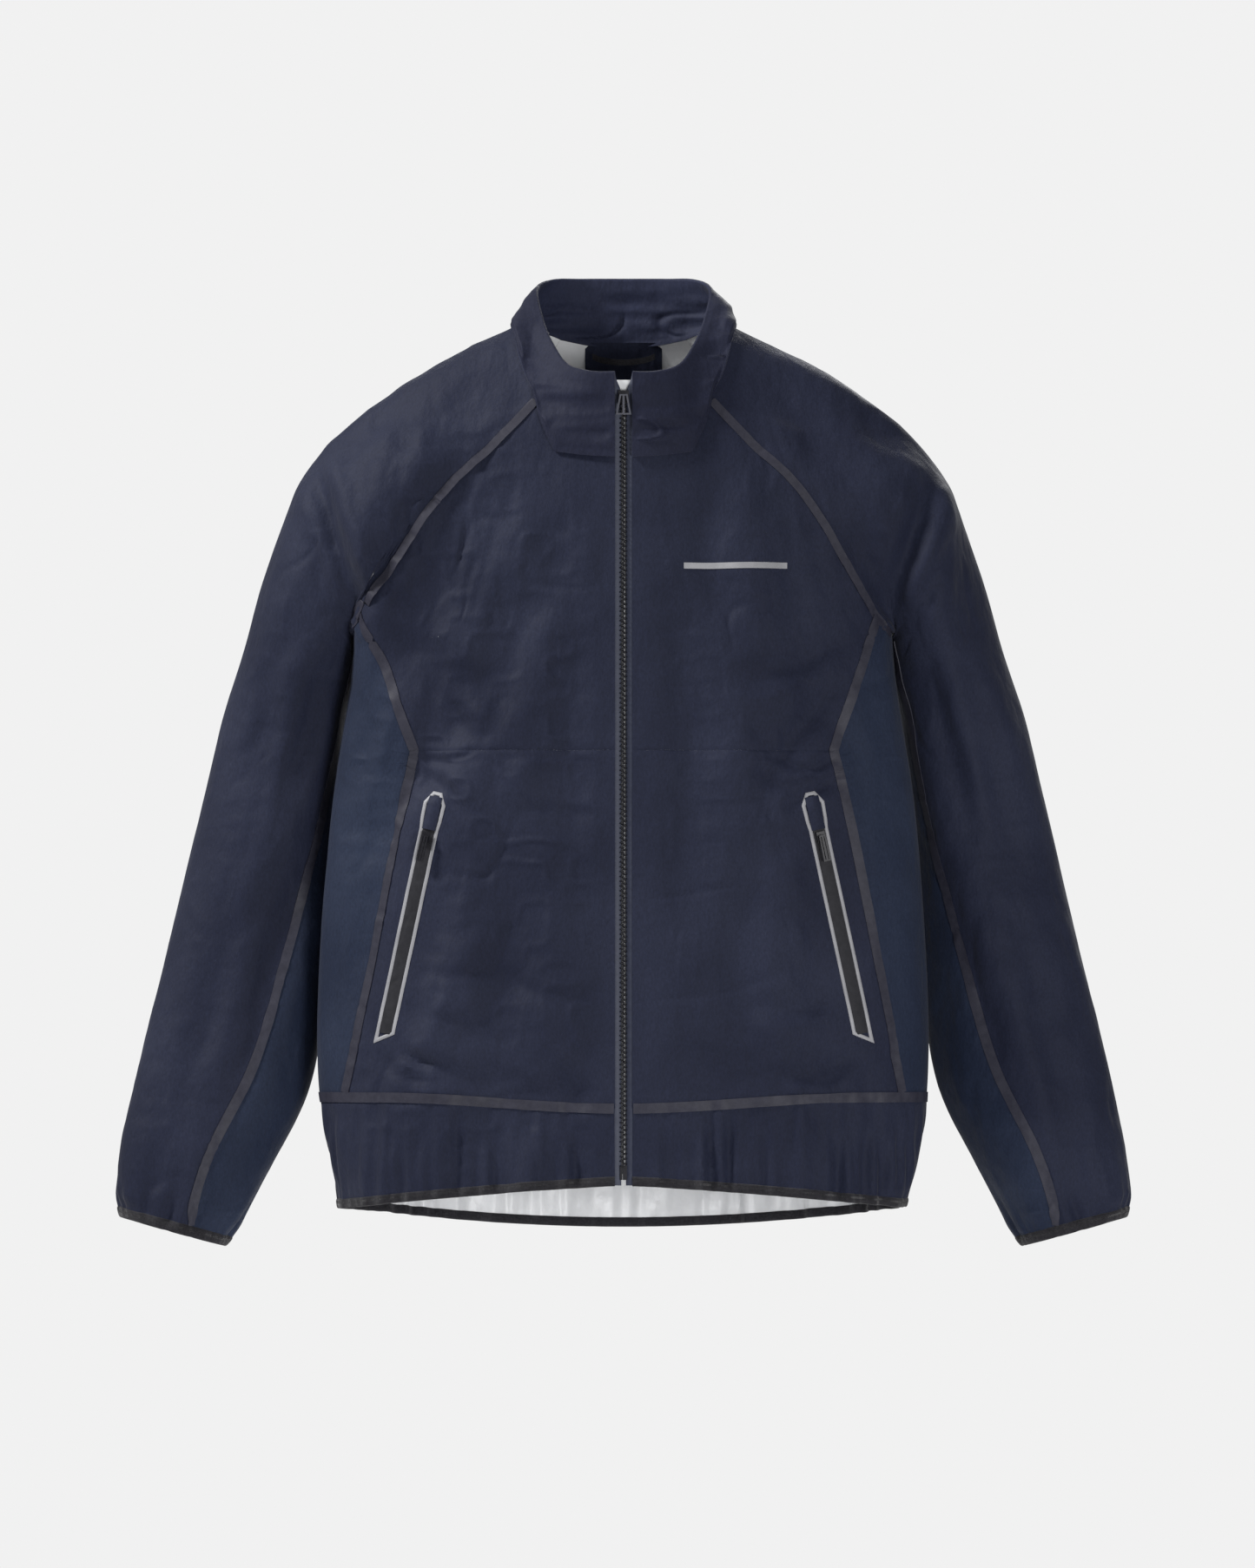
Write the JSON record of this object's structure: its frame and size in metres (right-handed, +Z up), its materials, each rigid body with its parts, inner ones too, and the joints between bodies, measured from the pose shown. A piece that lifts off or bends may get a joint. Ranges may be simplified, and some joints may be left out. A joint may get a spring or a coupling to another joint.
{
  "type": "foul weather jacket",
  "caption": "Navy waterproof sailing shell with stand collar, raglan sleeves, front zip, welded zip pockets, bonded seam tapes and elastic-bound hem and cuffs, shown open in form as if worn.",
  "frame": {"origin": "the point inside the back neck where the hanger loop takes the weight", "axes": "+Z up, the chest faces -Y, +X is the wearer's left"},
  "size_m": [0.8398, 0.2049, 0.8058],
  "materials": {
    "shell_navy": "matte",
    "stretch_navy": "matte",
    "seam_tape": "satin",
    "elastic_binding": "matte",
    "zip_tape": "matte",
    "zip_plastic": "satin",
    "reflective_film": "satin",
    "pale_lining": "satin"
  },
  "bodies": {
    "torso": {"front_upper_right": "shell_navy", "front_upper_left": "shell_navy", "front_lower_right": "shell_navy", "front_lower_left": "shell_navy", "side_panel_right": "stretch_navy", "side_panel_left": "stretch_navy", "hem_band_right": "shell_navy", "hem_band_left": "shell_navy", "back_panel": "shell_navy", "hem_band_back": "shell_navy", "hem_binding": "elastic_binding", "sleeve_head_right": "shell_navy", "sleeve_head_left": "shell_navy", "raglan_tape_front_right": "seam_tape", "raglan_tape_front_left": "seam_tape", "raglan_tape_back_right": "seam_tape", "raglan_tape_back_left": "seam_tape", "gusset_tape_right": "seam_tape", "gusset_tape_left": "seam_tape", "side_tape_right": "seam_tape", "side_tape_left": "seam_tape", "side_tape_back_right": "seam_tape", "side_tape_back_left": "seam_tape", "hem_tape": "seam_tape", "collar_outer": "shell_navy", "collar_inner": "shell_navy", "front_zip_tape_right": "zip_tape", "front_zip_tape_left": "zip_tape", "front_zip_chain_right": "zip_plastic", "front_zip_chain_left": "zip_plastic", "zip_retainer_box": "zip_plastic", "zip_insertion_pin": "zip_plastic", "storm_flap": "pale_lining", "pocket_frame_right": "reflective_film", "pocket_frame_left": "reflective_film", "pocket_zip_right": "zip_tape", "pocket_zip_left": "zip_tape", "pocket_garage_right": "shell_navy", "pocket_garage_left": "shell_navy", "pocket_bag_right": "pale_lining", "pocket_bag_left": "pale_lining", "neck_patch": "shell_navy", "hanger_loop": "shell_navy", "chest_bar": "reflective_film"},
    "sleeve_right": {"sleeve_main_right": "shell_navy", "sleeve_under_right": "stretch_navy", "sleeve_tape_right": "seam_tape", "sleeve_tape_back_right": "seam_tape", "cuff_binding_right": "elastic_binding"},
    "sleeve_left": {"sleeve_main_left": "shell_navy", "sleeve_under_left": "stretch_navy", "sleeve_tape_left": "seam_tape", "sleeve_tape_back_left": "seam_tape", "cuff_binding_left": "elastic_binding"},
    "front_slider": {"front_slider": "zip_plastic"},
    "front_pull": {"front_pull": "zip_plastic"},
    "pocket_slider_right": {"pocket_slider_right": "zip_plastic"},
    "pocket_pull_right": {"pocket_pull_right": "zip_plastic"},
    "pocket_slider_left": {"pocket_slider_left": "zip_plastic"},
    "pocket_pull_left": {"pocket_pull_left": "zip_plastic"}
  },
  "joints": [
    {"name": "shoulder_right_raise", "type": "hinge", "parent": "torso", "child": "sleeve_right", "pos_m": [-0.275, -0.026, -0.125], "axis": [0, 1, 0], "range_deg": [0, 50]},
    {"name": "shoulder_left_raise", "type": "hinge", "parent": "torso", "child": "sleeve_left", "pos_m": [0.275, -0.026, -0.125], "axis": [0, -1, 0], "range_deg": [0, 50]},
    {"name": "front_zip_slide", "type": "slide", "parent": "torso", "child": "front_slider", "axis": [0, -0.0477, -0.9989], "range_m": [0, 0.63]},
    {"name": "front_pull_swing", "type": "hinge", "parent": "front_slider", "child": "front_pull", "pos_m": [0, -0.12333, -0.03965], "axis": [-1, 0, 0], "range_deg": [0, 150]},
    {"name": "pocket_right_zip_slide", "type": "slide", "parent": "torso", "child": "pocket_slider_right", "axis": [-0.2107, 0.012, -0.9775], "range_m": [0, 0.15]},
    {"name": "pocket_left_zip_slide", "type": "slide", "parent": "torso", "child": "pocket_slider_left", "axis": [0.2107, 0.012, -0.9775], "range_m": [0, 0.15]},
    {"name": "pocket_right_pull_swing", "type": "hinge", "parent": "pocket_slider_right", "child": "pocket_pull_right", "pos_m": [-0.16443, -0.12901, -0.40506], "axis": [-0.9447, 0.2547, 0.2067], "range_deg": [0, 150]},
    {"name": "pocket_left_pull_swing", "type": "hinge", "parent": "pocket_slider_left", "child": "pocket_pull_left", "pos_m": [0.16443, -0.12901, -0.40506], "axis": [-0.9447, -0.2547, -0.2067], "range_deg": [0, 150]}
  ]
}
